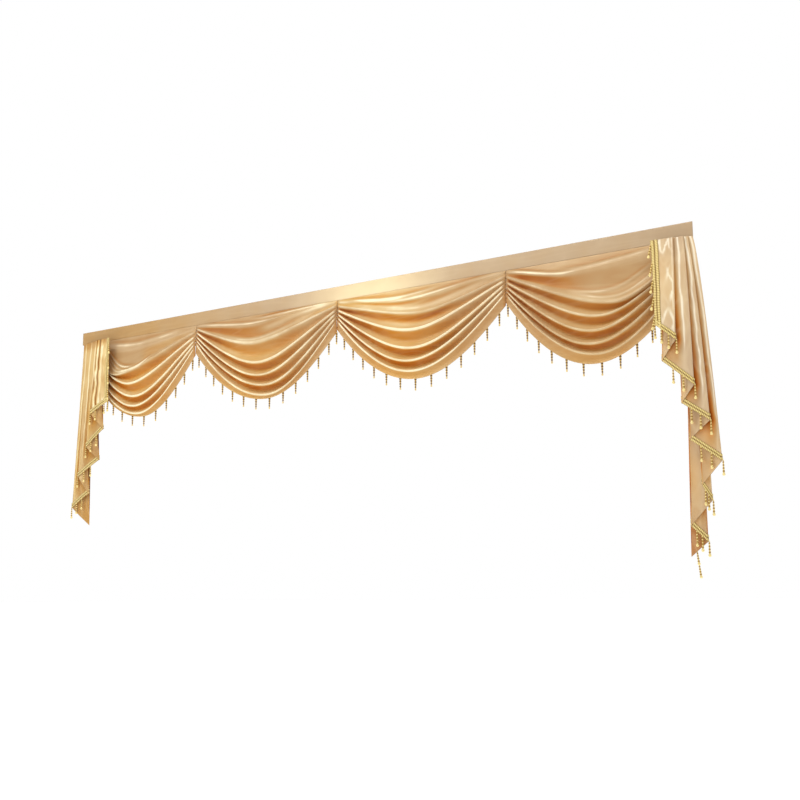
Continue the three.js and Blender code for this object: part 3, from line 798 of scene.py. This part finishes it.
braid_gold = gold_braid_material()
bead_gold = bead_material()
tail_drop = drop_mesh("drop growing to its end", 2.9, 4.2, 5.0, (0.1, 0.7, 0.0))
swag_drop = drop_mesh("drop tapering to its end", 4.8, 3.0, 3.4, (0.4, 1.0, 0.25))
for tail in TAILS:
    side, pleats, face, outward = tail["side"], tail["rows"], tail["face"], tail["outward"]
    front_width = abs(pleats[1]["hem"] - pleats[0]["hem"])
    braid_share = BRAID_WIDTH / front_width
    across_braid = [k / BRAID_ROWS for k in range(BRAID_ROWS + 1)]

    hem_columns = pleat_columns(pleats, lambda width: max(10, int(width / BRAID_STEP)))
    hem_levels = [(BRAID_WIDTH - 0.01) * share - BRAID_WIDTH for share in across_braid]
    cloth = [[tail_point(tail, pleats, column, level) for column in hem_columns] for level in hem_levels]
    laid, raised = (tail_offset(face, cloth, rise) for rise in (BRAID_LAID, BRAID_RAISED))
    hem_strip = strip_mesh(len(hem_columns) - 1, BRAID_ROWS, laid, facing_of(laid, raised))

    edge_columns = [(0, braid_share * share, None) for share in across_braid]
    edge_levels = [min(HEM_LEVEL, k / EDGE_STEPS) for k in range(EDGE_STEPS + 1)]
    cloth = [[tail_point(tail, pleats, column, level) for column in edge_columns] for level in edge_levels]
    laid, raised = (list(zip(*tail_offset(face, cloth, rise))) for rise in (BRAID_LAID, BRAID_RAISED))
    edge_strip = strip_mesh(EDGE_STEPS, BRAID_ROWS, laid, facing_of(laid, raised))

    for name, strip_bm in (("hem", hem_strip), ("edge", edge_strip)):
        piece = mesh_piece(f"{side}_{name}_braid", strip_bm, braid_gold)
        thicken(piece, BRAID_TAPE)
        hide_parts(f"braid_{side}")
        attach(piece, "root")

    hem_spots = [(0, 0.0, None), (0, braid_share, None), (0, FRONT_DROP, None)]
    for i in range(1, len(pleats) - 1):
        hem_spots += [(i, 0.0, 0.0)] if i % 2 else [(i, across, None) for across in LAYER_DROPS]
    drops = bmesh.new()
    for i, across, turn in hem_spots:
        x, y, z = tail_point(tail, pleats, (i, across, turn), 1)
        if turn is None:
            y -= DROP_STAND
        else:
            x -= outward * DROP_STAND
        add_drop(drops, tail_drop, (x, y, z + DROP_ROOT), (x, y, z - DROP_LENGTH))
    for share in tail["edge_drops"]:
        x, y, z = tail_point(tail, pleats, (0, 0.0, None), share)
        start = (x - outward * 1.5, y - DROP_STAND, z)
        end_x, end_y = x + outward * tail["edge_spread"], y - DROP_STAND - EDGE_DROP_FORWARD
        add_drop(drops, tail_drop, start, (end_x, end_y, z - DROP_LENGTH))
    if "long_drop" in tail:
        long_drop = tail["long_drop"]
        x, y, z = tail_point(tail, pleats, (long_drop["fold"], long_drop["across"], None), 1)
        y += DROP_STAND
        middle = (x + long_drop["aside"] / 2, y, z - long_drop["length"] / 2)
        add_drop(drops, tail_drop, (x, y, z + DROP_ROOT), middle)
        add_drop(drops, tail_drop, middle, (x + long_drop["aside"], y, z - long_drop["length"]))
    beads = mesh_piece(f"{side}_tail_beads", drops, bead_gold)
    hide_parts(f"braid_{side}")
    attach(beads, "root")

# Bead trim of the swags: a narrow woven tape sewn behind each hem, with strings of gold beads
# hanging from it at even spaces.
TAPE_WIDTH, TAPE_ABOVE_HEM, TAPE_BEHIND, TAPE_CLOTH = 10, 3, 2.25, 1.0
TAPE_COLUMNS, TAPE_ROWS = 160, 4
STRINGS_BEHIND, STRINGS_ABOVE, LAST_STRING_IN = 1.15, 1.5, 4
for number, swag in enumerate(SWAGS, start=1):
    folds = folds_of(swag)
    last = len(folds) - 1

    def tape_line(above):
        """Points along the tape, so many mm above the hem, behind the cloth."""
        line = []
        for c in range(TAPE_COLUMNS + 1):
            share = c / TAPE_COLUMNS
            hem, _, _ = swag_point(swag, folds, [], share, last)
            upper, _, _ = swag_point(swag, folds, [], share, last - 0.5)
            climb = (Vector(upper) - Vector(hem)).normalized()
            line.append(Vector(hem) + climb * above + Vector((0, TAPE_BEHIND, 0)))
        return line

    heights = [TAPE_ABOVE_HEM + TAPE_WIDTH * (1 - row / TAPE_ROWS) for row in range(TAPE_ROWS + 1)]
    lines = [tape_line(height) for height in heights]
    tape = shaped_grid(TAPE_COLUMNS, TAPE_ROWS, lambda column, row: (lines[row][column], 0.35, 0.5))
    tape_piece = mesh_piece(f"swag_{number}_tape", tape, champagne)
    thicken(tape_piece, TAPE_CLOTH)
    drops = bmesh.new()
    hem_line = lines[-1]
    runs = [0.0]
    for c in range(1, TAPE_COLUMNS + 1):
        runs.append(runs[-1] + (hem_line[c] - hem_line[c - 1]).length)
    first, pitch, string_count = swag["drops"]
    for n in range(string_count):
        wanted = min(runs[-1] - LAST_STRING_IN, first + pitch * n)
        c = next(k for k, length in enumerate(runs) if length >= wanted)
        root = hem_line[c - 1].lerp(hem_line[c], (wanted - runs[c - 1]) / (runs[c] - runs[c - 1]))
        root = root + Vector((0, STRINGS_BEHIND, 0))
        end = root - Vector((0, 0, DROP_LENGTH))
        add_drop(drops, swag_drop, root + Vector((0, 0, STRINGS_ABOVE)), end)
    beads = mesh_piece(f"swag_{number}_beads", drops, bead_gold)
    for piece, slot in ((tape_piece, "gold_braid"), (beads, "gold_beads")):
        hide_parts(f"bead_trim_{number}")
        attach(piece, "root")

# Floor: a pale matt studio floor, well below the hanging valance. It glows a little, so that soft
# light from below reaches the undersides of the folds.
FLOOR_DROP = 2.45
bm = bmesh.new()
bmesh.ops.create_grid(bm, x_segments=2, y_segments=2, size=400.0)
bmesh.ops.translate(bm, vec=(0, 0, -FLOOR_DROP), verts=bm.verts)
floor_paint, _, floor_shader = new_material("pale studio floor")
floor_shader.inputs["Base Color"].default_value = (0.8, 0.8, 0.8, 1.0)
floor_shader.inputs["Roughness"].default_value = 0.9
floor_shader.inputs["Emission Color"].default_value = (1.0, 1.0, 1.0, 1.0)
floor_shader.inputs["Emission Strength"].default_value = 0.6
floor = mesh_piece("floor", bm, floor_paint, smooth=False)

# Lights: a small softbox in front on the left and a long one above, both a little warm. They only
# round off the folds, because most of the light comes from the white surroundings.


def softbox(name, place, target, size, power, tint):
    """A soft rectangular studio light that faces its target."""
    lamp = bpy.data.lights.new(name, "AREA")
    lamp.shape = "RECTANGLE"
    lamp.size, lamp.size_y = size
    lamp.energy = power
    lamp.color = tint
    holder = bpy.data.objects.new(name, lamp)
    holder.location = place
    holder.rotation_euler = (Vector(target) - Vector(place)).to_track_quat("-Z", "Y").to_euler()
    bpy.context.scene.collection.objects.link(holder)
    return holder


softbox("key softbox", (-2.3, -3.8, 1.5), (0.0, 0.0, -0.3), (1.6, 1.0), 30, (1.0, 0.97, 0.92))
softbox("top softbox", (0.4, -1.3, 1.9), (0.2, 0.0, -0.3), (5.0, 0.7), 52, (1.0, 0.98, 0.95))

# Surroundings: a white studio, brightest behind the valance and less than half as bright in front
# of it, so that the background is white while the cloth keeps its shadows.
world = bpy.data.worlds.new("white studio")
bpy.context.scene.world = world
world.use_nodes = True
studio = world.node_tree
sky = studio.nodes["Background"]
direction = add_node(studio, "ShaderNodeTexCoord").outputs["Generated"]
parts = add_node(studio, "ShaderNodeSeparateXYZ", links={0: direction})
brightness = add_node(studio, "ShaderNodeMapRange", links={
    "Value": parts.outputs["Y"], "From Min": -0.2, "From Max": 0.5, "To Min": 0.4, "To Max": 1.0})
studio.links.new(brightness.outputs["Result"], sky.inputs["Strength"])
sky.inputs["Color"].default_value = (1.0, 1.0, 1.0, 1.0)

# Camera: below the valance's height and well to its right, looking up and to the left. Its place,
# angles and focal length, in pixels of the photo's width, are those that fit the photo.
YAW, PITCH, ROLL = math.radians(33.2), math.radians(9.64), math.radians(-0.34)
SENSOR, FOCAL_PIXELS, PHOTO_PIXELS = 36.0, 1165, 800
camera_data = bpy.data.cameras.new("camera")
camera_data.sensor_width = SENSOR
camera_data.lens = SENSOR * FOCAL_PIXELS / PHOTO_PIXELS
camera = bpy.data.objects.new("camera", camera_data)
camera.location = (2.748, -3.729, -1.256)
turned = Matrix.Rotation(YAW, 4, "Z") @ Matrix.Rotation(math.pi / 2 + PITCH, 4, "X")
camera.rotation_euler = (turned @ Matrix.Rotation(ROLL, 4, "Z")).to_euler()
bpy.context.scene.collection.objects.link(camera)
bpy.context.scene.camera = camera
bpy.context.scene.view_settings.view_transform = "Standard"
